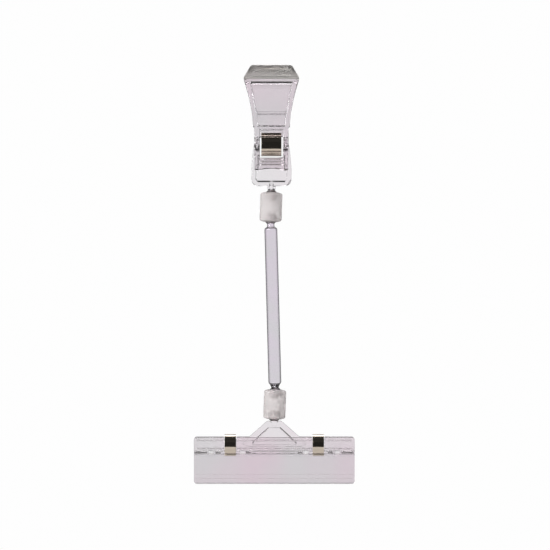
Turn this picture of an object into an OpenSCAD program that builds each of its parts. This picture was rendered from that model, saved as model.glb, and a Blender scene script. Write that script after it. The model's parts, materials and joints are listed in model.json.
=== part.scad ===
// Clip-on sign holder: a spring gripper at the top, two sleeves with ball joints and a clear rod
// between them, and a wide spring clip for the sign at the bottom.
// Millimetres, Z up, the front towards -Y. The origin is the middle of the hollow between the
// gripper's jaws, in the plane where they meet.

/* [Gripper jaws] */
// Height of the jaws' lips above the origin
grip_top = 18; // [12:0.5:24]
// Width across the lips
grip_lip_w = 21.4; // [16:0.2:28]
// Width across the widest edge of the nose
grip_wide_w = 27.4; // [20:0.2:34]
// Width across the waist
grip_waist_w = 17; // [12:0.2:22]
// Width across the rear arm's lower end
grip_arm_w = 20; // [14:0.2:26]
// Width of the front handle
grip_handle_w = 16.6; // [12:0.2:20]
// Thickness of the rear arm's wall
grip_wall = 2; // [1.2:0.1:3]
// Half of the gap between the closed jaws
grip_gap = 0.15; // [0.05:0.05:0.5]
// Depth of the fulcrum below the origin
fulcrum_drop = 20.4; // [16:0.1:26]
// Radius of the fulcrum's knuckles
knuckle_r = 2.4; // [1.5:0.1:3.5]
// Half width of the channel between the side rails
channel_x = 5.75; // [4:0.05:7]
// Depth of the rear arm's lower edge below the origin
arm_drop = 42; // [36:0.5:50]
// Depth of the front handle's lower edge below the origin
handle_drop = 34.5; // [28:0.5:40]

/* [Gripper spring] */
// Outside radius of the ring
grip_ring_r = 5.6; // [4:0.1:8]
// Strip thickness
grip_strip = 0.5; // [0.3:0.05:0.8]
// Strip width
grip_strip_w = 10; // [6:0.5:14]
// Depth of the ring's centre below the origin
grip_ring_drop = 21.7; // [18:0.1:26]

/* [Ball joints] */
// Ball radius
ball_r = 3; // [2:0.05:5]
// Running clearance around the balls and their spigots
fit = 0.05; // [0.01:0.01:0.1]
// Radius of the stems' necks at the balls
neck_r = 1.8; // [1.2:0.05:2.4]
// Radius of the spigot that holds a ball
spigot_r = 0.9; // [0.6:0.05:1.2]
// Outside radius of the sleeves
sleeve_r = 5.5; // [4:0.1:8]
// Length of a sleeve, rim to rim
sleeve_len = 14.8; // [12:0.1:20]
// Depth of the balls' centres inside the rims
ball_depth = 1.5; // [1:0.1:2.5]
// Lean of the two sleeves to the side, in degrees
sleeve_lean = 2; // [-10:0.5:10]
// Lean of the rod to the side, in degrees
rod_lean = -1.5; // [-10:0.5:10]

/* [Rod] */
// Distance between the rod's two ball centres
rod_len = 86.6; // [60:0.2:300]
// Rod radius
rod_r = 3.2; // [2:0.1:5]
// Radius of the rod's necks
rod_neck_r = 1.9; // [1.2:0.05:2.6]
// Distance from the upper ball's centre to the rod's shoulder
rod_top_neck = 4; // [3:0.1:6]
// Distance from the lower ball's centre to the rod's shoulder
rod_low_neck = 3.4; // [3:0.1:6]

/* [Stems] */
// How far the stems' axis stands behind the jaws' middle plane
stem_y = 4.6; // [3:0.1:7]
// Width of the gripper's ribbed stem
stem_w = 4.3; // [3:0.1:6]
// Drop from the rear arm's edge to the first ball's centre
stem_drop = 4.6; // [4:0.1:8]

/* [Sign clip] */
// Length of the clip's plates
sign_w = 80; // [50:1:160]
// Height of the clip's plates
sign_h = 23.4; // [18:0.2:40]
// Corner radius of the plates
sign_corner = 1.5; // [0.5:0.1:3]
// Thickness of the rear plate
sign_rear_t = 2; // [1.2:0.1:3]
// Thickness of the front plate
sign_front_t = 1.6; // [1.2:0.1:3]
// Height of the fulcrum above the lower edge
sign_fulcrum_h = 15.7; // [12:0.1:24]
// Angle of the handle from the upright
sign_handle_lean = 22; // [15:0.5:30]
// Radius of the fulcrum bead
bead_r = 1.1; // [0.8:0.05:1.5]
// Half width of the bracket at the plate's edge
bracket_foot = 12.4; // [8:0.1:18]
// Half width of the bracket at its top
bracket_top = 4.2; // [3:0.1:6]
// Distance from the last ball's centre to the bracket's top
bracket_drop = 2.4; // [2:0.1:4]
// Height of the bracket above the plate's upper edge
bracket_h = 7.8; // [5:0.1:12]

/* [Sign springs] */
// Outside radius of a ring
sign_ring_r = 5.3; // [4:0.1:8]
// Strip thickness of a ring
sign_strip = 0.45; // [0.3:0.05:0.8]
// Strip width of a ring
sign_strip_w = 5.6; // [4:0.1:8]
// Distance of the springs from the clip's middle
sign_spring_x = 21.9; // [12:0.1:34]
// Height of a ring's centre above the lower edge
sign_ring_h = 19.3; // [16:0.1:24]

/* [Hidden] */
$fn = 48;
// fulcrum and rings of the gripper
fz = -fulcrum_drop;
gz = -grip_ring_drop;
// chain of ball centres, D and C in the upper sleeve, B and A in the lower one
span = sleeve_len - 2 * ball_depth;
dx = 0;
dz = -arm_drop - stem_drop;
cx = dx - span * sin(sleeve_lean);
cz = dz - span * cos(sleeve_lean);
bx = cx - rod_len * sin(rod_lean);
bz = cz - rod_len * cos(rod_lean);
ax = bx - span * sin(sleeve_lean);
az = bz - span * cos(sleeve_lean);
// a ball is cut flat where its radius is the neck's
flat = sqrt(ball_r * ball_r - neck_r * neck_r);
// sign clip
top_z = az - bracket_drop - bracket_h;
low_z = top_z - sign_h;
ry = stem_y - sign_rear_t / 2;
sf_y = ry - 1;
sf_z = low_z + sign_fulcrum_h;
ring_z = low_z + sign_ring_h;
jaw_in = 0.4;
face_y = sf_y - sign_front_t;
ring_y = (face_y + 0.04 + ry + sign_rear_t) / 2;

// ---- helpers ----

// a drawing in [y, z], given a width along X about x = 0
module along_x(w) {
    rotate([90, 0, 90])
        linear_extrude(w, center = true)
            children();
}

// a drawing in [x, z], given a depth from y0 to y1
module along_y(y0, y1) {
    translate([0, y1, 0])
        rotate([90, 0, 0])
            linear_extrude(y1 - y0)
                children();
}

// a block given by its low and high corners
module block(lo, hi) {
    translate(lo)
        cube(hi - lo);
}

// half of an outline, [half width, z] from the top down, closed by its mirror image
function both(h) = concat(h, [for (i = [len(h) - 1 : -1 : 0]) [-h[i][0], h[i][1]]]);

function turned(u, c, s) = [u[0] * c - u[1] * s, u[0] * s + u[1] * c];

// two discs and the straight sides that touch them both
module belt(a, ra, b, rb) {
    u = (b - a) / norm(b - a);
    c = (ra - rb) / norm(b - a);
    s = sqrt(1 - c * c);
    n = turned(u, c, s);
    m = turned(u, c, -s);
    translate(a)
        circle(ra);
    translate(b)
        circle(rb);
    polygon([a + ra * n, b + rb * n, b + rb * m, a + ra * m]);
}

// a rectangle from lo to hi with round corners
module soft(lo, hi, r) {
    translate([lo[0] + r, lo[1]])
        square([hi[0] - lo[0] - 2 * r, hi[1] - lo[1]]);
    translate([lo[0], lo[1] + r])
        square([hi[0] - lo[0], hi[1] - lo[1] - 2 * r]);
    for (x = [lo[0] + r, hi[0] - r])
        for (z = [lo[1] + r, hi[1] - r])
            translate([x, z])
                circle(r);
}

// ---- gripper ----

// a jaw's outline seen from the front, down to its lower edge and half width
module jaw_outline(low, low_half) {
    lip = grip_lip_w / 2;
    wide = grip_wide_w / 2;
    waist = grip_waist_w / 2;
    polygon(both([
        [lip - 1.6, grip_top],
        [lip - 1.2, grip_top - 1.8],
        [wide - 0.3, 12.1],
        [wide, 10.9],
        [wide - 1.55, 5.6],
        [wide - 2.7, 1],
        [wide - 3.6, -3.6],
        [wide - 4.15, -7],
        [wide - 4.45, -10.5],
        [wide - 4.5, -12.5],
        [waist + 0.15, -12.7],
        [waist, -14],
        [waist, -20.2],
        [(waist + low_half) / 2, -24.9],
        [(waist + 3 * low_half) / 4, -28.6],
        [low_half, low + 8.6],
        [low_half, low]
    ]));
    belt([lip - 1.8, grip_top - 2], 2, [wide - 1.45, 11.2], 1.4);
    belt([1.8 - lip, grip_top - 2], 2, [1.45 - wide, 11.2], 1.4);
}

// side profile of one jaw as far as the waist, for the rear; the front one is its mirror image
function jaw_face() = [
    [grip_gap, grip_top], [2.1, grip_top], [2.7, grip_top - 0.35], [7.9, 11.6], [8.1, 10.9],
    [7.9, 10.4], [7.2, 9.6], [6.9, 0], [5.9, -9], [5.7, -12.5], [5.6, -14]
];

// everything that both jaws have cut out of them above the fulcrum; s is -1 front, 1 rear
module jaw_cuts(s) {
    // the hollow behind the lips, with a sloping roof
    intersection() {
        along_x(40)
            polygon([
                [-s * 0.5, 10.4], [s * 5.5, 8.5], [s * 4.9, 0], [s * 3.8, -9],
                [s * 3.6, -12.4], [-s * 0.5, -12.4]
            ]);
        along_y(-12, 12)
            polygon(both([
                [grip_wide_w / 2 - 3.2, 10.6],
                [grip_wide_w / 2 - 3.6, 8.3],
                [grip_wide_w / 2 - 5, 0],
                [channel_x + 1.4, -7],
                [channel_x + 1, -12.4]
            ]));
    }
    // the sunk panel outside
    intersection() {
        along_x(40)
            polygon([[s * 12, 9.9], [s * 6.4, 9.3], [s * 6.1, 0], [s * 5.45, -5.3], [s * 12, -5.9]]);
        along_y(-12, 12)
            polygon(both([
                [grip_wide_w / 2 - 3.3, 10.5],
                [grip_wide_w / 2 - 3.4, 8.3],
                [grip_wide_w / 2 - 5.2, 0],
                [7.2, -6]
            ]));
    }
    // the window for the spring, and the channel that its ends lie in
    block([-channel_x, -12, fz - 8], [channel_x, 12, -17.6]);
    if (s < 0)
        block([-channel_x, -12, fz - 8], [channel_x, -1.7, -14]);
    else
        block([-channel_x, 1.7, fz - 8], [channel_x, 12, -14]);
}

// ribs across a jaw's hollow
module jaw_ribs(s) {
    along_x(2 * channel_x + 4.5)
        polygon([[s * 3.4, -5.3], [s * 5.6, -5.3], [s * 5.6, -6.5], [s * 3.4, -6.5]]);
}

module grip_jaw_rear() {
    color([0.86, 0.84, 0.88, 0.5])
        union() {
            difference() {
                intersection() {
                    along_x(40)
                        polygon(concat(jaw_face(), [
                            [stem_y + grip_wall / 2, -16], [stem_y + grip_wall / 2, -arm_drop],
                            [2.4, -arm_drop], [2.3, -27], [1.3, -23.6], [1.1, -22.5],
                            [grip_gap, -22.2]
                        ]));
                    along_y(-1, 12)
                        union() {
                            difference() {
                                jaw_outline(-arm_drop, grip_arm_w / 2);
                                translate([-20, -60])
                                    square([40, 60 - arm_drop + 4.4]);
                            }
                            soft([-grip_arm_w / 2, -arm_drop], [grip_arm_w / 2, -arm_drop + 8], 3.4);
                        }
                }
                jaw_cuts(1);
                // the arm's inner side, between its rails and above its bottom rim
                intersection() {
                    along_x(24)
                        polygon([
                            [0, fz - 7], [stem_y - grip_wall / 2, fz - 7],
                            [stem_y - grip_wall / 2, -arm_drop + 2.7], [2, -arm_drop + 1.6],
                            [0, -arm_drop + 1.6]
                        ]);
                    along_y(-12, 12)
                        polygon(both([
                            [channel_x + 0.3, fz - 7],
                            [grip_arm_w / 2 - 2.4, fz - 13],
                            [grip_arm_w / 2 - 2.2, -arm_drop + 4],
                            [grip_arm_w / 2 - 3.4, -arm_drop + 1.6]
                        ]));
                }
                // groove for the front jaw's knuckles
                translate([0, 0, fz])
                    rotate([0, 90, 0])
                        cylinder(r = knuckle_r + fit, h = 40, center = true);
            }
            jaw_ribs(1);
            // fins that keep the front jaw central
            for (x = [-7.1, 7.1])
                difference() {
                    translate([x, 0, fz])
                        rotate([0, 90, 0])
                            cylinder(r = knuckle_r + 0.3, h = 0.7, center = true);
                    translate([x, 0, fz])
                        rotate([0, 90, 0])
                            cylinder(r = 1.5, h = 2, center = true);
                    block([x - 2, -5, fz - 5], [x + 2, 0.6, fz + 5]);
                }
            // the stem, a cross of two ribs that runs up into the arm
            grip_stem();
        }
}

module grip_stem() {
    top = -arm_drop + 1.2;
    low = dz + flat + fit;
    intersection() {
        union() {
            block([-stem_w / 2, stem_y - 0.6, low], [stem_w / 2, stem_y + 0.6, top]);
            block([-0.6, stem_y - stem_w / 2, low], [0.6, stem_y + stem_w / 2, -arm_drop + 0.4]);
            translate([dx, stem_y, low])
                cylinder(r = 1.45, h = top - low);
        }
        translate([dx, stem_y, 0])
            rotate_extrude()
                polygon([
                    [0, low], [neck_r, low], [neck_r, low + 0.3],
                    [stem_w / 2 + 0.1, low + 1.2], [stem_w / 2 + 0.1, top], [0, top]
                ]);
    }
    // the pointed rib on the arm's face
    along_y(2.5, stem_y - 0.5)
        polygon([[-1.5, -arm_drop], [1.5, -arm_drop], [0.5, -arm_drop + 2.8], [-0.5, -arm_drop + 2.8]]);
    translate([dx, stem_y, low - 1.85])
        cylinder(r = spigot_r, h = 2.2);
}

module grip_jaw_front() {
    color([0.86, 0.84, 0.88, 0.5])
        union() {
            difference() {
                intersection() {
                    along_x(40)
                        union() {
                            polygon(concat([for (p = jaw_face()) [-p[0], p[1]]], [
                                [-5.4, -16], [-5.4, -24], [-6.2, -28], [-9, -handle_drop],
                                [-5.6, -handle_drop], [-1, -24], [-grip_gap, -22.7]
                            ]));
                            translate([0, fz])
                                circle(knuckle_r);
                        }
                    along_y(-12, 5)
                        difference() {
                            jaw_outline(-handle_drop, grip_handle_w / 2);
                            translate([0, -handle_drop - 24.3])
                                circle(25, $fn = 96);
                        }
                }
                jaw_cuts(-1);
                // the handle's inner side, between its rails
                along_x(2 * channel_x + 1.6)
                    polygon([
                        [3, fz - 7], [3, -40], [-7.1, -40], [-7, -handle_drop], [-4.2, -28], [-4, fz - 7]
                    ]);
                // slots for the rear jaw's fins
                for (x = [-7.1, 7.1])
                    difference() {
                        translate([x, 0, fz])
                            rotate([0, 90, 0])
                                cylinder(r = knuckle_r + 0.5, h = 0.9, center = true);
                        translate([x, 0, fz])
                            rotate([0, 90, 0])
                                cylinder(r = 1.4, h = 2, center = true);
                        block([x - 2, -6, fz - 5], [x + 2, -1.5, fz + 5]);
                    }
            }
            jaw_ribs(-1);
            // three ribs for the finger
            for (i = [0 : 2])
                translate([0, -6.45 - i * 0.6, -28.8 - i * 1.4])
                    rotate([0, 90, 0])
                        cylinder(r = 0.5, h = 2 * channel_x + 1, center = true);
        }
}

function dir(a) = [cos(a), sin(a)];

function back(v) = [for (i = [len(v) - 1 : -1 : 0]) v[i]];

// one side of a strip ring whose mouth is towards +z: out is the side's distance outside the
// strip's middle line, mid the ring's middle radius, and a half of the mouth's angle
function strip_side(mid, curl, a, out) = let(
    half = [
        for (k = [0 : 8])
            (mid + curl) * [sin(a), cos(a)] + (curl - out) * dir(130 + k * (140 - a) / 8)
    ],
    ring = [for (k = [1 : 39]) (mid + out) * dir(90 - a - k * (360 - 2 * a) / 40)]
) concat(half, ring, back([for (p = half) [-p[0], p[1]]]));

// a strip ring closed by two outward curls; reach is from the ring's middle plane to the faces
// that the curls press on
module strip_ring(r_out, t, curl, reach) {
    mid = r_out - t / 2;
    a = asin((reach + curl + t / 2) / (mid + curl));
    polygon(concat(strip_side(mid, curl, a, t / 2), back(strip_side(mid, curl, a, -t / 2))));
}

module grip_spring() {
    color([0.62, 0.6, 0.58])
        translate([0, 0, gz])
            along_x(grip_strip_w)
                strip_ring(grip_ring_r, grip_strip, 0.6, 1.73);
}

// ---- ball joints ----

// a ball about the origin, cut flat towards +Z where its stem stands, with a bore for the spigot
module ball() {
    rotate_extrude()
        difference() {
            circle(ball_r);
            translate([-2 * ball_r, -2 * ball_r])
                square([2 * ball_r, 4 * ball_r]);
            translate([-1, flat])
                square([2 * ball_r, ball_r]);
            translate([-1, flat - 1.9])
                square([1 + spigot_r + fit, ball_r]);
        }
}

// a sleeve about its middle, standing along Z
module sleeve() {
    half = sleeve_len / 2;
    rotate_extrude()
        difference() {
            union() {
                polygon([
                    [0, -half], [3.3, -half], [4.75, 0.75 - half], [sleeve_r, 1.45 - half],
                    [sleeve_r, half - 1.45], [4.75, half - 0.75], [3.3, half], [0, half]
                ]);
                for (s = [-1, 1])
                    translate([sleeve_r - 1, s * (half - 1.35)])
                        circle(1);
            }
            translate([-20, -20])
                square([20, 40]);
            for (s = [-1, 1])
                translate([0, s * span / 2])
                    circle(ball_r + fit);
            for (s = [-1, 1])
                polygon([
                    [-1, s * (half + 1)], [-1, s * (half - 0.4)], [2.75, s * (half - 0.4)],
                    [3.75, s * (half + 0.6)], [3.75, s * (half + 1)]
                ]);
        }
}

module grip_ball() {
    color([0.86, 0.84, 0.88, 0.5])
        translate([dx, stem_y, dz])
            ball();
}

module upper_sleeve() {
    color([0.9, 0.89, 0.88])
        translate([(cx + dx) / 2, stem_y, (cz + dz) / 2])
            rotate([0, sleeve_lean, 0])
                sleeve();
}

module rod_ball_top() {
    color([0.86, 0.84, 0.88, 0.5])
        translate([cx, stem_y, cz])
            rotate([0, rod_lean + 180, 0])
                ball();
}

module rod_ball_bottom() {
    color([0.86, 0.84, 0.88, 0.5])
        translate([bx, stem_y, bz])
            rotate([0, rod_lean, 0])
                ball();
}

module lower_sleeve() {
    color([0.9, 0.89, 0.88])
        translate([(ax + bx) / 2, stem_y, (az + bz) / 2])
            rotate([0, sleeve_lean, 0])
                sleeve();
}

module sign_ball() {
    color([0.86, 0.84, 0.88, 0.5])
        translate([ax, stem_y, az])
            rotate([0, 180, 0])
                ball();
}

// ---- rod ----

// points on a rounding from angle a0 to a1
function bend(x, z, r, a0, a1) = [
    for (k = [0 : 6])
        let(a = a0 + k * (a1 - a0) / 6)
            [x + r * cos(a), z + r * sin(a)]
];

module rod() {
    high = -flat - fit;
    low = flat + fit - rod_len;
    s1 = -rod_top_neck;
    s2 = rod_low_neck - rod_len;
    color([0.86, 0.84, 0.88, 0.5])
        translate([cx, stem_y, cz])
            rotate([0, rod_lean, 0])
                rotate_extrude()
                    polygon(concat(
                        [
                            [0, high + 1.85], [spigot_r, high + 1.85], [spigot_r, high],
                            [neck_r, high], [rod_neck_r, high - 0.5], [rod_neck_r, s1]
                        ],
                        bend(rod_r - 1.2, s1 - 1.5, 1.2, 60, 0),
                        bend(rod_r - 1.4, s2 + 2, 1.4, 0, -55),
                        [
                            [rod_neck_r, s2], [neck_r, low], [spigot_r, low],
                            [spigot_r, low - 1.85], [0, low - 1.85]
                        ]
                    ));
}

// ---- sign clip ----

module sign_plate_rear() {
    low = az - flat - fit;
    half = sign_w / 2;
    color([0.84, 0.83, 0.87, 0.5])
        translate([ax, 0, 0])
            union() {
                difference() {
                    union() {
                        along_y(ry, ry + sign_rear_t)
                            soft([-half, low_z], [half, top_z], sign_corner);
                        // the bracket
                        along_y(ry - 0.3, ry + sign_rear_t + 0.3)
                            bracket();
                        // the ridge that holds the fulcrum groove
                        block([1 - half, ry - 0.7, sf_z - 1.9], [half - 1, ry + 0.5, sf_z + 1.9]);
                        // low grip beads inside the mouth
                        for (h = [2.2, 4.2])
                            translate([0, ry + 0.75, low_z + h])
                                rotate([0, 90, 0])
                                    cylinder(r = 1, h = sign_w - 2, center = true);
                        // stops behind the handle
                        for (x = [-31.3, 31.3])
                            translate([x, ry + 0.5, sf_z + 4.7])
                                rotate([90, 0, 0])
                                    cylinder(r = 1.2, h = 1.3);
                    }
                    // the fulcrum groove
                    translate([0, sf_y, sf_z])
                        rotate([0, 90, 0])
                            cylinder(r = bead_r + fit, h = sign_w + 2, center = true);
                    // the sunk panels of the bracket, front and back
                    along_y(ry - 2, ry + 0.3)
                        bracket_panel();
                    along_y(ry + sign_rear_t - 0.3, ry + sign_rear_t + 2)
                        bracket_panel();
                    bracket_lines();
                    // room for the sleeve's rim
                    translate([0, stem_y, az])
                        sphere(3.6);
                    // notches for the springs
                    for (x = [-sign_spring_x, sign_spring_x])
                        block([x - 3.1, 0, top_z - 1.6], [x + 3.1, 9, top_z + 1]);
                }
                // tongues that keep the front plate central
                for (x = [-31.5, -15.8, 15.8, 31.5])
                    block([x - 1, sf_y - 0.7, sf_z - 0.5], [x + 1, ry + 0.5, sf_z + 0.5]);
                // the stem and its root
                translate([0, stem_y, low - 2.6])
                    cylinder(r = neck_r, h = 2.6);
                translate([0, stem_y, low - 0.3])
                    cylinder(r = spigot_r, h = 2.15);
            }
}

module bracket() {
    polygon(both([
        [bracket_top - 1.1, top_z + bracket_h],
        [bracket_top - 0.35, top_z + bracket_h - 0.35],
        [bracket_top + 0.25, top_z + bracket_h - 0.8],
        [bracket_foot, top_z],
        [bracket_foot + 3.4, top_z - 3.4],
        [bracket_foot + 0.6, top_z - 4.6]
    ]));
}

module bracket_panel() {
    polygon(both([
        [2.7, top_z + 4.4],
        [11.1, top_z - 3.2],
        [10.6, top_z - 3.8]
    ]));
}

// sharp grooves along the front panel's sloping sides
module bracket_lines() {
    run = norm([8.4, 7.6]);
    for (s = [-1, 1])
        translate([s * 6.9, ry + 0.3, top_z + 0.6])
            rotate([0, s * atan2(7.6, 8.4), 0])
                along_x(run)
                    polygon([[-0.35, -0.5], [0.65, 0], [-0.35, 0.5]]);
}

module sign_plate_front() {
    half = sign_w / 2;
    back = sign_fulcrum_h - sign_h;
    lean = tan(sign_handle_lean);
    t = sign_front_t / cos(sign_handle_lean);
    up = top_z - sf_z;
    color([0.84, 0.83, 0.87, 0.5])
        translate([ax, 0, 0])
            union() {
                difference() {
                    intersection() {
                        along_x(sign_w)
                            union() {
                                polygon([
                                    [sf_y, sf_z], [sf_y + jaw_in, low_z],
                                    [face_y + jaw_in + 0.5, low_z], [face_y + jaw_in, low_z + 0.6],
                                    [face_y, sf_z - 0.3],
                                    [sf_y - t - up * lean, top_z],
                                    [sf_y - up * lean, top_z]
                                ]);
                                translate([sf_y, sf_z])
                                    circle(bead_r);
                            }
                        along_y(-9, 12)
                            soft([-half, low_z], [half, top_z], sign_corner);
                    }
                    // the line of grooves outside the fulcrum
                    for (p = [[33.4, 39.2], [26.7, 29.3], [11.5, 14.1]])
                        for (s = [-1, 1])
                            translate([s * (p[0] + p[1]) / 2, face_y, sf_z - 0.1])
                                along_x(p[1] - p[0])
                                    polygon([[-0.2, -0.68], [0.9, 0], [-0.2, 0.68]]);
                    translate([0, face_y, sf_z - 0.6])
                        along_x(22)
                            polygon([[-0.2, -0.42], [0.5, 0], [-0.2, 0.42]]);
                    // slots for the rear plate's tongues
                    for (x = [-31.5, -15.8, 15.8, 31.5])
                        block([x - 1.15, face_y - 2, sf_z - 0.95], [x + 1.15, sf_y + 3, sf_z + 0.95]);
                    // notches for the springs
                    for (x = [-sign_spring_x, sign_spring_x])
                        block([x - 3.1, -9, sf_z + 1.3], [x + 3.1, 9, top_z + 1]);
                }
                // two ribs along the handle
                intersection() {
                    union() {
                        for (h = [1.9, 6])
                            translate([0, sf_y - t - h * lean, sf_z + h])
                                rotate([0, 90, 0])
                                    cylinder(r = 0.4, h = sign_w - 3, center = true);
                    }
                    difference() {
                        block([-half, -9, low_z], [half, 9, top_z]);
                        for (x = [-sign_spring_x, sign_spring_x])
                            block([x - 3.1, -9, sf_z + 1.3], [x + 3.1, 9, top_z + 1]);
                    }
                }
            }
}

module sign_spring() {
    translate([ax, ring_y, ring_z])
        rotate([180, 0, 0])
            along_x(sign_strip_w)
                strip_ring(sign_ring_r, sign_strip, 0.5, (ry + sign_rear_t - face_y) / 2 + 0.02);
}

module sign_spring_left() {
    color([0.62, 0.6, 0.58])
        translate([-sign_spring_x, 0, 0])
            sign_spring();
}

module sign_spring_right() {
    color([0.62, 0.6, 0.58])
        translate([sign_spring_x, 0, 0])
            sign_spring();
}

grip_jaw_rear();
grip_jaw_front();
grip_spring();
grip_ball();
upper_sleeve();
rod_ball_top();
rod();
rod_ball_bottom();
lower_sleeve();
sign_ball();
sign_plate_rear();
sign_plate_front();
sign_spring_left();
sign_spring_right();
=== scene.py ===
import json
import math

import bmesh
import bpy
from bpy.props import FloatProperty, FloatVectorProperty, IntProperty, PointerProperty
from mathutils import Matrix, Vector


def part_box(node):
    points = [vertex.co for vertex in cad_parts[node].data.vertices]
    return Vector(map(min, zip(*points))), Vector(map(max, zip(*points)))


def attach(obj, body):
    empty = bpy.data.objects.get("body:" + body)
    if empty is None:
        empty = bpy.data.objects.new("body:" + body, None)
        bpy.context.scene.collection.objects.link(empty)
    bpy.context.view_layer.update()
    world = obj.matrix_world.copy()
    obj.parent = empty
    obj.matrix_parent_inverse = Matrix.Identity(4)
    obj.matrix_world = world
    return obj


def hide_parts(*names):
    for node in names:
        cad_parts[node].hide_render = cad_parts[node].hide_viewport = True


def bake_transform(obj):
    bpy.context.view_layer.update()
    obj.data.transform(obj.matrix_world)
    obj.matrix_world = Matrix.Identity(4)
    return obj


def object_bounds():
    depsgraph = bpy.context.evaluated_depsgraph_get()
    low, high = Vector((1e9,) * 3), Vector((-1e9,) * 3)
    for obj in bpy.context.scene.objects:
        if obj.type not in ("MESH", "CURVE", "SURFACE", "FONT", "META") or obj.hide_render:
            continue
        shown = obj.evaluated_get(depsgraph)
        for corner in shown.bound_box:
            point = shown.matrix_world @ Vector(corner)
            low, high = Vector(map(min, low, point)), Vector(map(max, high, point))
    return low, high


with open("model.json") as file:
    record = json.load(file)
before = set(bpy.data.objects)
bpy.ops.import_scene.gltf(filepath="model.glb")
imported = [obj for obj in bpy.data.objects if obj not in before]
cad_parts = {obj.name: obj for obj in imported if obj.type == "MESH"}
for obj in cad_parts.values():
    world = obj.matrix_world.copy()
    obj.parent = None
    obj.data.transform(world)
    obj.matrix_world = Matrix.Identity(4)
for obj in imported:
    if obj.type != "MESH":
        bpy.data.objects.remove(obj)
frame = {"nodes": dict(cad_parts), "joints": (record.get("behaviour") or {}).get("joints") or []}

bl_info = {
    "name": "Clip-on sign holder",
    "version": (1, 0, 0),
    "blender": (4, 5, 0),
    "location": "3D View > Sidebar > Sign holder",
    "description": "Makes the clear mouldings, milky sleeves and steel springs of a clip-on sign holder",
    "category": "Object",
}

MM = 0.001
CAD_BOX = [list(corner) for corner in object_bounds()]


# ---- what the frame says ----

def joint(name):
    """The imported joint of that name."""
    return next(j for j in frame["joints"] if j["name"] == name)


def joint_point(name):
    """A point on a joint's axis, in the row frame."""
    return Vector(joint(name)["pos_m"])


# the four ball centres from the top down, and the middles of the two sleeves
BALL_AT_GRIPPER = joint_point("gripper_ball_turns")
BALL_AT_ROD_HEAD = joint_point("rod_head_tilts")
BALL_AT_ROD_FOOT = joint_point("rod_foot_turns")
BALL_AT_CLIP = joint_point("sign_turns")


# ---- sizes and colours that a user would change ----

def linear(code):
    """An sRGB hex colour as linear red, green, blue and alpha."""
    shares = [int(code[i:i + 2], 16) / 255 for i in (1, 3, 5)]
    return tuple(s / 12.92 if s <= 0.04045 else ((s + 0.055) / 1.055) ** 2.4 for s in shares) + (1.0,)


def length(name, description, default):
    """A length property, whose default is given in millimetres."""
    return FloatProperty(name=name, description=description, default=default * MM,
                         min=0.0, precision=5, unit="LENGTH")


def colour(name, description, code):
    """A colour property, whose default is an sRGB hex colour."""
    return FloatVectorProperty(name=name, description=description, default=linear(code),
                               size=4, min=0.0, max=1.0, subtype="COLOR")


class SignHolderSizes(bpy.types.PropertyGroup):
    """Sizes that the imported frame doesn't give."""
    ball_radius: length("Ball radius", "Radius of the moulded balls", 3.0)
    ball_play: length("Ball play", "Gap between a ball and its socket", 0.05)
    neck_radius: length("Neck radius", "Radius of the necks that carry the balls", 1.8)
    sleeve_radius: length("Sleeve radius", "Outside radius of the two sleeves", 5.5)
    sleeve_length: length("Sleeve length", "Length of a sleeve from rim to rim", 14.8)
    rod_radius: length("Rod radius", "Radius of the rod", 3.2)
    outer_edge: length("Outer edge", "Rounding of the jaws' long outer edges", 0.45)
    jaw_edge: length("Jaw edge", "Rounding of the gripper's other moulded edges", 0.14)
    plate_edge: length("Plate edge", "Rounding of the sign clip's moulded edges", 0.12)
    strip_edge: length("Strip edge", "Rounding of the springs' rolled edges", 0.07)
    floor_radius: length("Floor radius", "Radius of the studio floor", 280)
    floor_drop: length("Floor drop", "Height of the holder above the studio floor", 80)
    camera_distance: length("Camera distance", "Distance from the camera to the holder", 1500)
    turns: IntProperty(name="Turned steps", description="Steps around a turned shape", default=96,
                       min=12, max=256)


class SignHolderColours(bpy.types.PropertyGroup):
    """Colours of the finishes."""
    clear: colour("Clear plastic", "Tint of the clear mouldings", "#ECE4E9")
    clear_grey: colour("Clear plastic, grey", "The greyer patches of the clear mouldings", "#E9E7E9")
    # painted shade: the nose colour is a flat grey that stands in for the shade of the thick slanted nose
    nose: colour("Nose", "Tint of the gripper's frosted nose", "#B7BBAE")
    rod_tint: colour("Rod", "Tint of the thick rod", "#DCD2DF")
    rod_grey: colour("Rod, grey", "The greyer side of the thick rod", "#D6D5D8")
    milky: colour("Milky plastic", "Colour of the sleeves", "#DCD7D7")
    nickel: colour("Nickel", "Colour of the springs' plating", "#C4B9AC")
    floor: colour("Floor", "Colour of the studio floor", "#E9E7E5")


# ---- mesh helpers ----

def new_piece(bm, name):
    """Makes a mesh into an object at the origin, unturned and unscaled."""
    mesh = bpy.data.meshes.new(name)
    bm.to_mesh(mesh)
    bm.free()
    piece = bpy.data.objects.new(name, mesh)
    bpy.context.scene.collection.objects.link(piece)
    return piece


# edges that turn by more than this are corners, and the others belong to curved faces
SHARP = math.radians(28.0)


def finish_mesh(piece):
    """Puts the modifiers' result into the mesh, then shades it smooth between its sharp edges."""
    depsgraph = bpy.context.evaluated_depsgraph_get()
    final = bpy.data.meshes.new_from_object(piece.evaluated_get(depsgraph))
    piece.modifiers.clear()
    piece.data = final
    final.shade_smooth()
    final.set_sharp_from_angle(angle=SHARP)
    weighted = piece.modifiers.new("Even flat faces", "WEIGHTED_NORMAL")
    weighted.keep_sharp = True
    return piece


def arc(middle, radius, start, end, steps):
    """Points of an arc in the (radius, height) plane, with its angles in degrees."""
    angles = [math.radians(start + (end - start) * k / steps) for k in range(steps + 1)]
    return [(middle[0] + radius * math.cos(a), middle[1] + radius * math.sin(a)) for a in angles]


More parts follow.
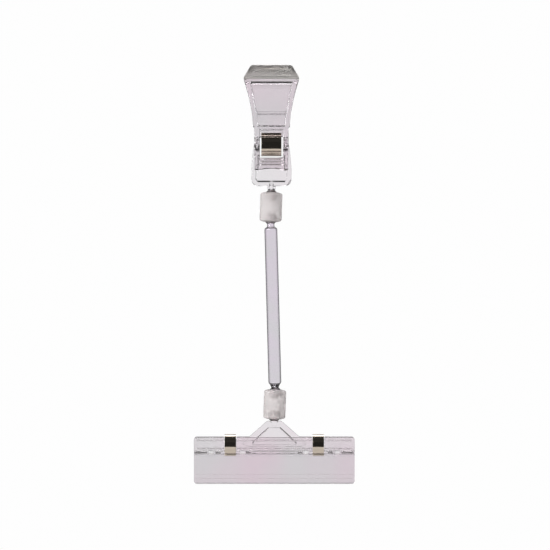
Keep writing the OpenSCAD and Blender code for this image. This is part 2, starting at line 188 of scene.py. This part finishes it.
def turned(outline, steps, place):
    """Spins an outline of (radius, height) points about Z into a closed shape, and puts it in place."""
    bm = bmesh.new()
    verts = [bm.verts.new((max(r, 0.0), 0.0, z)) for r, z in outline]
    edges = [bm.edges.new(pair) for pair in zip(verts, verts[1:])]
    bmesh.ops.spin(bm, geom=verts + edges, cent=(0, 0, 0), axis=(0, 0, 1), angle=math.tau,
                   steps=steps, use_merge=True)
    bmesh.ops.remove_doubles(bm, verts=bm.verts, dist=0.0005 * MM)
    bmesh.ops.dissolve_degenerate(bm, dist=0.0005 * MM, edges=bm.edges)
    bmesh.ops.recalc_face_normals(bm, faces=bm.faces)
    bmesh.ops.transform(bm, matrix=place, verts=bm.verts)
    return bm


def standing(low, high):
    """The place of a shape made about Z that stands on the line from low to high, at its low end."""
    return Matrix.Translation(low) @ Vector((0, 0, 1)).rotation_difference(high - low).to_matrix().to_4x4()


def merged_copy(node):
    """A copy of a CAD node's mesh with its loose triangles merged and its flat faces whole."""
    bm = bmesh.new()
    bm.from_mesh(frame["nodes"][node].data)
    bmesh.ops.remove_doubles(bm, verts=bm.verts, dist=0.002 * MM)
    bmesh.ops.dissolve_degenerate(bm, dist=0.001 * MM, edges=bm.edges)
    bmesh.ops.dissolve_limit(bm, angle_limit=math.radians(1.0), verts=bm.verts, edges=bm.edges)
    return bm


# a flat face has to reach this many widths in from an edge before the edge is rounded: one width
# for each of two facing edges, and a little between them
ROOM_TO_ROUND = 2.3


def room_beside(edge, face):
    """How far a face reaches straight in from an edge, at the tightest of three places."""
    a, b = (v.co for v in edge.verts)
    along = (b - a).normalized()
    inward = face.normal.cross(along)
    loop = next(lp for lp in edge.link_loops if lp.face == face)
    if loop.vert != edge.verts[0]:
        inward = -inward
    room = 1.0
    for share in (0.25, 0.5, 0.75):
        start = a.lerp(b, share)
        for other in face.edges:
            if other != edge:
                p, q = (v.co - start for v in other.verts)
                p_side, q_side = p.dot(along), q.dot(along)
                if p_side * q_side < 0:
                    t = p_side / (p_side - q_side)
                    reach = p.lerp(q, t).dot(inward)
                    if reach > 0:
                        room = min(room, reach)
    return room


def round_edges(piece, *widths, shortest=0.0):
    """Rounds a moulding's edges, each by the first width that the faces beside it leave room for.

    Edges under the shortest length, such as those of small round pegs, can be left as they are.
    """
    bm = bmesh.new()
    bm.from_mesh(piece.data)
    for width in widths:
        edges = [e for e in bm.edges
                 if len(e.link_faces) == 2 and e.calc_face_angle(0) > SHARP
                 and e.calc_length() > shortest
                 and min(room_beside(e, f) for f in e.link_faces) > ROOM_TO_ROUND * width]
        bmesh.ops.bevel(bm, geom=edges, offset=width, offset_type="OFFSET", segments=3, profile=0.5,
                        affect="EDGES", clamp_overlap=False, material=-1)
        bm.normal_update()
    bm.to_mesh(piece.data)
    bm.free()


def fuse(piece, bm, name):
    """Joins a closed shape to a piece as one moulding."""
    other = new_piece(bm, name)
    union = piece.modifiers.new("Fused", "BOOLEAN")
    union.operation = "UNION"
    union.solver = "EXACT"
    union.object = other
    finish_mesh(piece)
    piece.modifiers.clear()
    bpy.data.objects.remove(other)


def ball_on_neck(sizes, neck_top):
    """Outline of a ball about the origin with a solid neck above it.

    The neck is a little thinner than the stem that it is fused into, so that no two faces coincide.
    """
    inset = 0.05 * MM
    neck = sizes.neck_radius - inset
    flat = math.degrees(math.acos(neck / sizes.ball_radius))
    outline = arc((0, 0), sizes.ball_radius, -90, flat, sizes.turns // 3)
    return outline + [(neck, neck_top), (0, neck_top)]


# ---- materials ----

def add_node(tree, kind, inputs=None, stops=None, **settings):
    """Adds a node, sets its settings and colour stops, and fills or links its inputs."""
    node = tree.nodes.new(kind)
    for name, value in settings.items():
        setattr(node, name, value)
    for place, value in (inputs or {}).items():
        if isinstance(value, bpy.types.NodeSocket):
            tree.links.new(value, node.inputs[place])
        else:
            node.inputs[place].default_value = value
    for i, (position, shade) in enumerate(stops or []):
        ramp = node.color_ramp.elements
        stop = ramp[i] if i < 2 else ramp.new(position)
        stop.position = position
        stop.color = shade
    return node


def new_material(name):
    """An empty node material and its tree."""
    material = bpy.data.materials.new(name)
    material.use_nodes = True
    material.node_tree.nodes.clear()
    return material, material.node_tree


def per_mm(size):
    """The scale at which a pattern on Object coordinates repeats every so many millimetres."""
    return 1 / (size * MM)


def grey(value):
    """A neutral linear colour."""
    return (value, value, value, 1.0)


def moulded_clear_plastic(name, tint, tint_grey, nose_painted_grey, painted_rim_shade_at, patch_size):
    """Clear polystyrene, injection moulded in a polished tool.

    The eye gets a faint lilac tint that drifts to grey in soft patches, painted shade as dark rims
    where the wall turns away, faint flow lines that waver what is seen through it, and a fine-matt
    gripper's nose whose grey colour is painted shade.
    """
    material, tree = new_material(name)
    coords = add_node(tree, "ShaderNodeTexCoord")
    patches = add_node(tree, "ShaderNodeTexNoise", {
        "Vector": coords.outputs["Object"], "Scale": per_mm(patch_size), "Detail": 1.0})
    tints = add_node(tree, "ShaderNodeValToRGB", {"Fac": patches.outputs["Fac"]},
                     stops=[(0.32, tint), (0.68, tint_grey)])
    # painted shade: the colour is darkened into dark rims where the wall turns away from the eye
    turned_away = add_node(tree, "ShaderNodeLayerWeight", {"Blend": 0.5})
    painted_rim_shade = add_node(tree, "ShaderNodeValToRGB", {"Fac": turned_away.outputs["Facing"]},
                    stops=[(facing, grey(share)) for facing, share in painted_rim_shade_at])
    shade = add_node(tree, "ShaderNodeMix", {0: 1.0, 6: tints.outputs["Color"], 7: painted_rim_shade.outputs["Color"]},
                     data_type="RGBA", blend_type="MULTIPLY")
    # flow lines, in cells 6 mm wide, 3 mm deep and 1.2 mm high, drawn by the melt in the mould
    flow = add_node(tree, "ShaderNodeMapping", {
        "Vector": coords.outputs["Object"], "Scale": (per_mm(6.0), per_mm(3.0), per_mm(1.2))})
    lines = add_node(tree, "ShaderNodeTexNoise", {
        "Vector": flow.outputs["Vector"], "Scale": 1.0, "Detail": 2.0})
    bump = add_node(tree, "ShaderNodeBump", {
        "Height": lines.outputs["Fac"], "Strength": 0.15, "Distance": 0.02 * MM})
    # the tool is fine-matt only at the front of the gripper's nose, from 10.5 mm above the origin, and
    # there the colour is a painted grey shade
    axes = add_node(tree, "ShaderNodeSeparateXYZ", {"Vector": coords.outputs["Object"]})
    above = add_node(tree, "ShaderNodeMapRange", {
        "Value": axes.outputs["Z"], "From Min": 10.3 * MM, "From Max": 10.7 * MM})
    front = add_node(tree, "ShaderNodeMapRange", {
        "Value": axes.outputs["Y"], "From Min": -1.4 * MM, "From Max": -1.8 * MM})
    nose = add_node(tree, "ShaderNodeMath", {
        0: above.outputs["Result"], 1: front.outputs["Result"]}, operation="MULTIPLY")
    rough = add_node(tree, "ShaderNodeMapRange", {
        "Value": nose.outputs["Value"], "To Min": 0.03, "To Max": 0.45})
    # painted shade: on the nose the tint is replaced by a flat grey that stands in for its shade
    nose_painted_shade = add_node(tree, "ShaderNodeMix", {
        0: nose.outputs["Value"], 6: shade.outputs[2], 7: nose_painted_grey}, data_type="RGBA")
    plastic = add_node(tree, "ShaderNodeBsdfPrincipled", {
        "Base Color": nose_painted_shade.outputs[2], "Normal": bump.outputs["Normal"],
        "Roughness": rough.outputs["Result"],
        "IOR": 1.59, "Transmission Weight": 1.0})
    add_node(tree, "ShaderNodeOutputMaterial", {"Surface": plastic.outputs["BSDF"]})
    return material


def moulded_milky_polyethylene(colours):
    """Natural polyethylene, injection moulded in a fine-matt tool.

    The eye gets a soft waxy white that light passes through, with the ball inside showing as a
    shadow, and a broad dull sheen.
    """
    material, tree = new_material("Moulded_milky_polyethylene")
    coords = add_node(tree, "ShaderNodeTexCoord")
    # clouds of about 5 mm, where the wall is more or less milky
    clouds = add_node(tree, "ShaderNodeTexNoise", {
        "Vector": coords.outputs["Object"], "Scale": per_mm(5.0), "Detail": 2.0})
    milky = tuple(colours.milky)
    deeper = tuple(c * 0.94 for c in milky[:3]) + (1.0,)
    tints = add_node(tree, "ShaderNodeValToRGB", {"Fac": clouds.outputs["Fac"]},
                     stops=[(0.35, milky), (0.7, deeper)])
    # the fine-matt tool, grains of about 0.25 mm
    grain = add_node(tree, "ShaderNodeTexNoise", {
        "Vector": coords.outputs["Object"], "Scale": per_mm(0.25), "Detail": 3.0})
    bump = add_node(tree, "ShaderNodeBump", {
        "Height": grain.outputs["Fac"], "Strength": 0.3, "Distance": 0.02 * MM})
    skin = add_node(tree, "ShaderNodeBsdfPrincipled", {
        "Base Color": tints.outputs["Color"], "Normal": bump.outputs["Normal"], "Roughness": 0.42,
        "IOR": 1.51, "Subsurface Weight": 1.0, "Subsurface Radius": (1.0, 0.95, 0.95),
        "Subsurface Scale": 2.0 * MM})
    inside = add_node(tree, "ShaderNodeBsdfPrincipled", {
        "Base Color": tints.outputs["Color"], "Normal": bump.outputs["Normal"], "Roughness": 0.2,
        "IOR": 1.1, "Transmission Weight": 1.0})
    mixed = add_node(tree, "ShaderNodeMixShader", {
        "Fac": 0.55, 1: skin.outputs["BSDF"], 2: inside.outputs["BSDF"]})
    add_node(tree, "ShaderNodeOutputMaterial", {"Surface": mixed.outputs["Shader"]})
    return material


def nickel_plated_spring_steel(colours):
    """Spring steel strip, rolled, bent and bright nickel plated.

    The eye gets a dark mirror with a warm cast, softened a little along the rolling lines that
    run the length of the strip.
    """
    material, tree = new_material("Nickel_plated_rolled_spring_steel")
    coords = add_node(tree, "ShaderNodeTexCoord")
    # rolling lines, in cells 0.3 mm across and 9 mm long, coarser than real ones so that they show
    along = add_node(tree, "ShaderNodeMapping", {
        "Vector": coords.outputs["Object"], "Scale": (per_mm(0.3), per_mm(9.0), per_mm(9.0))})
    lines = add_node(tree, "ShaderNodeTexNoise", {
        "Vector": along.outputs["Vector"], "Scale": 1.0, "Detail": 2.0})
    bump = add_node(tree, "ShaderNodeBump", {
        "Height": lines.outputs["Fac"], "Strength": 0.25, "Distance": 0.01 * MM})
    rough = add_node(tree, "ShaderNodeMapRange", {
        "Value": lines.outputs["Fac"], "To Min": 0.08, "To Max": 0.16})
    steel = add_node(tree, "ShaderNodeBsdfPrincipled", {
        "Base Color": tuple(colours.nickel), "Metallic": 1.0, "Roughness": rough.outputs["Result"],
        "Normal": bump.outputs["Normal"]})
    add_node(tree, "ShaderNodeOutputMaterial", {"Surface": steel.outputs["BSDF"]})
    return material


def matt_painted_board(colours):
    """Studio board with matt paint: an even pale ground with hardly a grain."""
    material, tree = new_material("Matt_painted_board")
    coords = add_node(tree, "ShaderNodeTexCoord")
    # roller stipple of about 2 mm
    stipple = add_node(tree, "ShaderNodeTexNoise", {
        "Vector": coords.outputs["Object"], "Scale": per_mm(2.0), "Detail": 2.0})
    bump = add_node(tree, "ShaderNodeBump", {
        "Height": stipple.outputs["Fac"], "Strength": 0.1, "Distance": 0.1 * MM})
    paint = add_node(tree, "ShaderNodeBsdfPrincipled", {
        "Base Color": tuple(colours.floor), "Roughness": 0.8, "Normal": bump.outputs["Normal"]})
    add_node(tree, "ShaderNodeOutputMaterial", {"Surface": paint.outputs["BSDF"]})
    return material


def material_for(name, make, *details):
    """The material of that name, made the first time that a piece needs it."""
    return bpy.data.materials.get(name) or make(*details)


def clear_plastic(colours):
    """The finish of the jaws and plates."""
    name = "Moulded_clear_polystyrene"
    # painted shade: the colour falls to these shares where the wall turns away from the eye
    painted_rim_shade_at = [(0.18, 1.0), (0.9, 0.15), (0.3, 0.78), (0.52, 0.6)]
    return material_for(name, moulded_clear_plastic, name, tuple(colours.clear),
                        tuple(colours.clear_grey), tuple(colours.nose), painted_rim_shade_at, 26.0)


def rod_plastic(colours):
    """The finish of the thick rod, which has broader painted dark rims (painted shade at its edges) than
    the thin walls.
    """
    name = "Moulded_clear_polystyrene_thick"
    # painted shade: the rod's colour darkens strongly towards its edges
    painted_rim_shade_at = [(0.22, 1.0), (0.6, 0.08)]
    return material_for(name, moulded_clear_plastic, name, tuple(colours.rod_tint),
                        tuple(colours.rod_grey), tuple(colours.nose), painted_rim_shade_at, 9.0)


def milky_plastic(colours):
    """The finish of the sleeves."""
    return material_for("Moulded_milky_polyethylene", moulded_milky_polyethylene, colours)


def spring_steel(colours):
    """The finish of the springs."""
    return material_for("Nickel_plated_rolled_spring_steel", nickel_plated_spring_steel, colours)


def dress(piece, material, body=None):
    """Gives a piece its finish and the body that it rides on."""
    piece.data.materials.clear()
    piece.data.materials.append(material)
    if body:
        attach(piece, body)


# ---- one operator for each piece or group of like pieces ----

class PieceOperator:
    """What the operators share."""
    bl_options = {"REGISTER", "UNDO"}

    def execute(self, context):
        self.make(context.scene.sign_holder_sizes, context.scene.sign_holder_colours)
        return {"FINISHED"}


class MakeRearJaw(PieceOperator, bpy.types.Operator):
    """The gripper's rear jaw with its arm, stem and moulded ball"""
    bl_idname = "sign_holder.rear_jaw"
    bl_label = "Rear jaw"

    def make(self, sizes, colours):
        jaw = new_piece(merged_copy("grip_jaw_rear"), "rear_jaw_moulding")
        ball = ball_on_neck(sizes, sizes.ball_radius)
        fuse(jaw, turned(ball, sizes.turns, Matrix.Translation(BALL_AT_GRIPPER)), "ball")
        round_edges(jaw, sizes.outer_edge, sizes.jaw_edge)
        finish_mesh(jaw)
        dress(jaw, clear_plastic(colours), "gripper")
        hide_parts("grip_jaw_rear", "grip_ball")


class MakeFrontJaw(PieceOperator, bpy.types.Operator):
    """The gripper's front jaw with its handle"""
    bl_idname = "sign_holder.front_jaw"
    bl_label = "Front jaw"

    def make(self, sizes, colours):
        jaw = new_piece(merged_copy("grip_jaw_front"), "front_jaw_moulding")
        round_edges(jaw, sizes.outer_edge, sizes.jaw_edge)
        finish_mesh(jaw)
        dress(jaw, clear_plastic(colours), "grip_front")
        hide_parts("grip_jaw_front")


def strip_spring(name, node, strip, curl, reach, mouth, sizes):
    """A ring of strip with two outward curls at its mouth, bent where the CAD node is.

    strip is the strip's thickness, curl a curl's radius to the middle of the strip, reach the
    distance from the ring's middle plane to the faces that the curls press on, and mouth +1 where
    it opens upwards or -1 downwards.
    """
    curl_turn = math.radians(140)
    low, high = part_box(node)
    radius = (high.y - low.y) / 2
    middle = Vector(((low.x + high.x) / 2, (low.y + high.y) / 2, 0))
    middle.z = low.z + radius if mouth > 0 else high.z - radius
    mid = radius - strip / 2
    gape = math.asin((reach + curl + strip / 2) / (mid + curl))
    bm = bmesh.new()
    half = (high.x - low.x) / 2
    ends = [bm.verts.new((x, 0, -mid)) for x in (-half, half)]
    edge = bm.edges.new(ends)
    bend = bmesh.ops.spin(bm, geom=ends + [edge], cent=(0, 0, 0), axis=(1, 0, 0),
                          angle=math.pi - gape, steps=sizes.turns // 2)
    curl_at = (0, (mid + curl) * math.sin(gape), (mid + curl) * math.cos(gape))
    bmesh.ops.spin(bm, geom=bend["geom_last"], cent=curl_at, axis=(1, 0, 0),
                   angle=gape - curl_turn, steps=sizes.turns // 6)
    bmesh.ops.mirror(bm, geom=bm.verts[:] + bm.edges[:] + bm.faces[:], axis="Y",
                     matrix=Matrix.Identity(4), merge_dist=0.001 * MM)
    bmesh.ops.remove_doubles(bm, verts=bm.verts, dist=0.001 * MM)
    bmesh.ops.recalc_face_normals(bm, faces=bm.faces)
    if mouth < 0:
        bmesh.ops.rotate(bm, verts=bm.verts, cent=(0, 0, 0), matrix=Matrix.Rotation(math.pi, 3, "X"))
    bmesh.ops.translate(bm, verts=bm.verts, vec=middle)
    spring = new_piece(bm, name)
    wall = spring.modifiers.new("Strip", "SOLIDIFY")
    wall.thickness = strip
    wall.offset = 0
    wall.use_even_offset = True
    edge_round = spring.modifiers.new("Rolled edges", "BEVEL")
    edge_round.width = sizes.strip_edge
    edge_round.segments = 2
    edge_round.limit_method = "ANGLE"
    edge_round.angle_limit = math.radians(60)
    return finish_mesh(spring)


class MakeGripperSpring(PieceOperator, bpy.types.Operator):
    """The gripper's strip spring"""
    bl_idname = "sign_holder.gripper_spring"
    bl_label = "Gripper spring"

    def make(self, sizes, colours):
        strip, curl, reach = 0.5 * MM, 0.6 * MM, 1.73 * MM
        spring = strip_spring("gripper_spring_strip", "grip_spring", strip, curl, reach, 1, sizes)
        dress(spring, spring_steel(colours))
        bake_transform(spring)
        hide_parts("grip_spring")


class MakeSleeves(PieceOperator, bpy.types.Operator):
    """The two milky sleeves that hold the balls"""
    bl_idname = "sign_holder.sleeves"
    bl_label = "Sleeves"

    def make(self, sizes, colours):
        half = sizes.sleeve_length / 2
        socket = sizes.ball_radius + sizes.ball_play
        corner = 1.0 * MM
        # the mouth's sharp lip stands back from the rim, and the rim is a narrow flat ring
        lip_depth = 0.34 * MM
        rim_inner, rim_outer = 3.15 * MM, 3.35 * MM
        corner_depth = 1.35 * MM
        ends = [("upper_sleeve", "top_sleeve", BALL_AT_ROD_HEAD, BALL_AT_GRIPPER),
                ("lower_sleeve", "low_sleeve", BALL_AT_CLIP, BALL_AT_ROD_FOOT)]
        for node, body, low, high in ends:
            span = (high - low).length / 2
            lip = math.degrees(math.asin((half - lip_depth - span) / socket))
            upper = arc((0, span), socket, -90, lip, sizes.turns // 4)
            upper += [(rim_inner, half), (rim_outer, half)]
            upper += arc((sizes.sleeve_radius - corner, half - corner_depth), corner, 75, 0, 8)
            lower = [(r, -z) for r, z in reversed(upper)]
            place = standing((low + high) / 2, high)
            sleeve = new_piece(turned(upper + lower, sizes.turns, place), node + "_moulding")
            finish_mesh(sleeve)
            dress(sleeve, milky_plastic(colours), body)
            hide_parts(node)


class MakeRod(PieceOperator, bpy.types.Operator):
    """The clear rod with a moulded ball at each end"""
    bl_idname = "sign_holder.rod"
    bl_label = "Rod"

    def make(self, sizes, colours):
        span = (BALL_AT_ROD_HEAD - BALL_AT_ROD_FOOT).length
        flat = math.degrees(math.acos(sizes.neck_radius / sizes.ball_radius))
        steps = sizes.turns // 3
        neck = 1.9 * MM
        # heights above the lower ball's centre at which the necks end and the shoulders' arcs are centred
        neck_low_end = 2.8 * MM
        neck_high_end = span - 4.0 * MM
        low_shoulder, low_shoulder_at = 1.4 * MM, 5.4 * MM
        high_shoulder, high_shoulder_at = 1.2 * MM, span - 5.5 * MM
        outline = arc((0, 0), sizes.ball_radius, -90, flat, steps)
        outline += [(neck, neck_low_end)]
        outline += arc((sizes.rod_radius - low_shoulder, low_shoulder_at), low_shoulder, -55, 0, 10)
        outline += arc((sizes.rod_radius - high_shoulder, high_shoulder_at), high_shoulder, 0, 60, 10)
        outline += [(neck, neck_high_end)]
        outline += arc((0, span), sizes.ball_radius, -flat, 90, steps)
        rod = new_piece(turned(outline, sizes.turns, standing(BALL_AT_ROD_FOOT, BALL_AT_ROD_HEAD)),
                        "rod_moulding")
        finish_mesh(rod)
        dress(rod, rod_plastic(colours), "rod")
        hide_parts("rod", "rod_ball_top", "rod_ball_bottom")


class MakeSignRearPlate(PieceOperator, bpy.types.Operator):
    """The sign clip's rear plate with its bracket and moulded ball"""
    bl_idname = "sign_holder.sign_rear_plate"
    bl_label = "Sign rear plate"

    def make(self, sizes, colours):
        plate = new_piece(merged_copy("sign_plate_rear"), "sign_rear_plate_moulding")
        over = Matrix.Translation(BALL_AT_CLIP) @ Matrix.Rotation(math.pi, 4, "X")
        fuse(plate, turned(ball_on_neck(sizes, sizes.ball_radius), sizes.turns, over), "ball")
        round_edges(plate, sizes.plate_edge, shortest=0.4 * MM)
        finish_mesh(plate)
        dress(plate, clear_plastic(colours), "sign_clip")
        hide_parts("sign_plate_rear", "sign_ball")


class MakeSignFrontPlate(PieceOperator, bpy.types.Operator):
    """The sign clip's front plate with its handle"""
    bl_idname = "sign_holder.sign_front_plate"
    bl_label = "Sign front plate"

    def make(self, sizes, colours):
        plate = new_piece(merged_copy("sign_plate_front"), "sign_front_plate_moulding")
        round_edges(plate, sizes.plate_edge)
        finish_mesh(plate)
        dress(plate, clear_plastic(colours), "sign_front")
        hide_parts("sign_plate_front")


class MakeSignSprings(PieceOperator, bpy.types.Operator):
    """The sign clip's two strip springs"""
    bl_idname = "sign_holder.sign_springs"
    bl_label = "Sign springs"

    def make(self, sizes, colours):
        strip, curl, reach = 0.45 * MM, 0.5 * MM, 2.32 * MM
        for side in ("left", "right"):
            node = "sign_spring_" + side
            spring = strip_spring(node + "_strip", node, strip, curl, reach, -1, sizes)
            dress(spring, spring_steel(colours))
            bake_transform(spring)
            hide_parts(node)


class MakeStage(PieceOperator, bpy.types.Operator):
    """The pale floor, the soft studio light and the camera"""
    bl_idname = "sign_holder.stage"
    bl_label = "Stage"

    def make(self, sizes, colours):
        low, high = (Vector(corner) for corner in CAD_BOX)
        middle = (low + high) / 2
        self.floor(sizes, colours, low.z - sizes.floor_drop)
        self.world()
        self.lamp("Key", 0.9, 20.0, (-0.9, -0.9, 0.5), middle)
        self.lamp("Back", 0.5, 5.0, (0.1, 0.7, 0.9), middle)
        self.camera(sizes, low, high)
        view = bpy.context.scene.view_settings
        view.view_transform = "Standard"

    def floor(self, sizes, colours, height):
        """A round board under the holder."""
        bm = bmesh.new()
        bmesh.ops.create_circle(bm, cap_ends=True, segments=128, radius=sizes.floor_radius)
        extruded = bmesh.ops.extrude_face_region(bm, geom=bm.faces[:])
        underside = [v for v in extruded["geom"] if isinstance(v, bmesh.types.BMVert)]
        thickness = 4 * MM
        bmesh.ops.translate(bm, verts=underside, vec=(0, 0, -thickness))
        bmesh.ops.recalc_face_normals(bm, faces=bm.faces)
        bmesh.ops.translate(bm, verts=bm.verts, vec=(0, 0, height))
        board = new_piece(bm, "studio_floor")
        board.data.materials.append(matt_painted_board(colours))

    def world(self):
        """White behind the holder, a soft even light on it, and a dark room in what it mirrors."""
        world = bpy.data.worlds.new("Studio")
        bpy.context.scene.world = world
        world.use_nodes = True
        tree = world.node_tree
        tree.nodes.clear()
        paths = add_node(tree, "ShaderNodeLightPath")
        coords = add_node(tree, "ShaderNodeTexCoord")
        axes = add_node(tree, "ShaderNodeSeparateXYZ", {"Vector": coords.outputs["Generated"]})
        height = add_node(tree, "ShaderNodeMapRange", {
            "Value": axes.outputs["Z"], "From Min": -1.0, "From Max": 1.0})
        # what shows through clear plastic: a white band at eye level, dark below and above it
        seen_through = [(0.28, 0.06), (0.95, 0.15), (0.35, 0.98), (0.65, 0.98), (0.71, 0.03)]
        through = add_node(tree, "ShaderNodeValToRGB", {"Fac": height.outputs["Result"]},
                           stops=[(at, grey(share)) for at, share in seen_through])
        # what a surface mirrors: a dark room with three faint rings of light overhead
        seen_mirrored = [(0.0, 0.03), (1.0, 0.06), (0.77, 0.02), (0.81, 0.06), (0.85, 0.02),
                         (0.92, 0.05), (0.96, 0.02)]
        mirrored = add_node(tree, "ShaderNodeValToRGB", {"Fac": height.outputs["Result"]},
                            stops=[(at, grey(share)) for at, share in seen_mirrored])
        soft = grey(0.52)
        # a ray that leaves clear plastic counts as glossy too, so its share is set after the glossy one
        step = add_node(tree, "ShaderNodeMix", {
            0: paths.outputs["Is Glossy Ray"], 6: soft, 7: mirrored.outputs["Color"]},
            data_type="RGBA")
        step = add_node(tree, "ShaderNodeMix", {
            0: paths.outputs["Is Transmission Ray"], 6: step.outputs[2], 7: through.outputs["Color"]},
            data_type="RGBA")
        step = add_node(tree, "ShaderNodeMix", {
            0: paths.outputs["Is Camera Ray"], 6: step.outputs[2], 7: grey(0.99)}, data_type="RGBA")
        sky = add_node(tree, "ShaderNodeBackground", {"Color": step.outputs[2], "Strength": 1.0})
        add_node(tree, "ShaderNodeOutputWorld", {"Surface": sky.outputs["Background"]})

    def lamp(self, name, size, power, place, target):
        """A soft box that faces the holder and isn't seen itself."""
        light = bpy.data.lights.new(name, "AREA")
        light.shape = "SQUARE"
        light.size = size
        light.energy = power
        lamp = bpy.data.objects.new(name, light)
        bpy.context.scene.collection.objects.link(lamp)
        lamp.visible_camera = False
        lamp.location = target + Vector(place)
        lamp.rotation_euler = (-Vector(place)).to_track_quat("-Z", "Y").to_euler()

    def camera(self, sizes, low, high):
        """A long lens, level with the holder's middle and straight in front of it."""
        lens = bpy.data.cameras.new("Camera")
        camera = bpy.data.objects.new("Camera", lens)
        bpy.context.scene.collection.objects.link(camera)
        # the lens length in millimetres at which the holder fills 76.2% of the view's height
        lens.sensor_width = 36.0
        lens.lens = 197.4
        right, down = 0.35 * MM, 0.2 * MM
        middle = (low + high) / 2
        camera.location = (middle.x + right, -sizes.camera_distance, middle.z - down)
        camera.rotation_euler = (math.radians(90), 0, 0)
        bpy.context.scene.camera = camera


PIECES = [MakeRearJaw, MakeFrontJaw, MakeGripperSpring, MakeSleeves, MakeRod, MakeSignRearPlate,
          MakeSignFrontPlate, MakeSignSprings]


class SignHolderPanel(bpy.types.Panel):
    """Lists the sizes, the colours and the operators"""
    bl_idname = "VIEW3D_PT_sign_holder"
    bl_label = "Sign holder"
    bl_space_type = "VIEW_3D"
    bl_region_type = "UI"
    bl_category = "Sign holder"

    def draw(self, context):
        for group in (context.scene.sign_holder_sizes, context.scene.sign_holder_colours):
            box = self.layout.box()
            for name in group.bl_rna.properties.keys():
                if name not in ("rna_type", "name"):
                    box.prop(group, name)
        for operator in PIECES + [MakeStage]:
            self.layout.operator(operator.bl_idname)


CLASSES = [SignHolderSizes, SignHolderColours, *PIECES, MakeStage, SignHolderPanel]


def register():
    """Registers the classes and hangs the properties on the scene."""
    for item in CLASSES:
        bpy.utils.register_class(item)
    bpy.types.Scene.sign_holder_sizes = PointerProperty(type=SignHolderSizes)
    bpy.types.Scene.sign_holder_colours = PointerProperty(type=SignHolderColours)


def unregister():
    """Takes it all away again."""
    del bpy.types.Scene.sign_holder_colours
    del bpy.types.Scene.sign_holder_sizes
    for item in reversed(CLASSES):
        bpy.utils.unregister_class(item)


def main():
    """Makes every piece and the stage."""
    register()
    for operator in PIECES + [MakeStage]:
        group, name = operator.bl_idname.split(".")
        getattr(getattr(bpy.ops, group), name)()


if __name__ == "__main__":
    main()
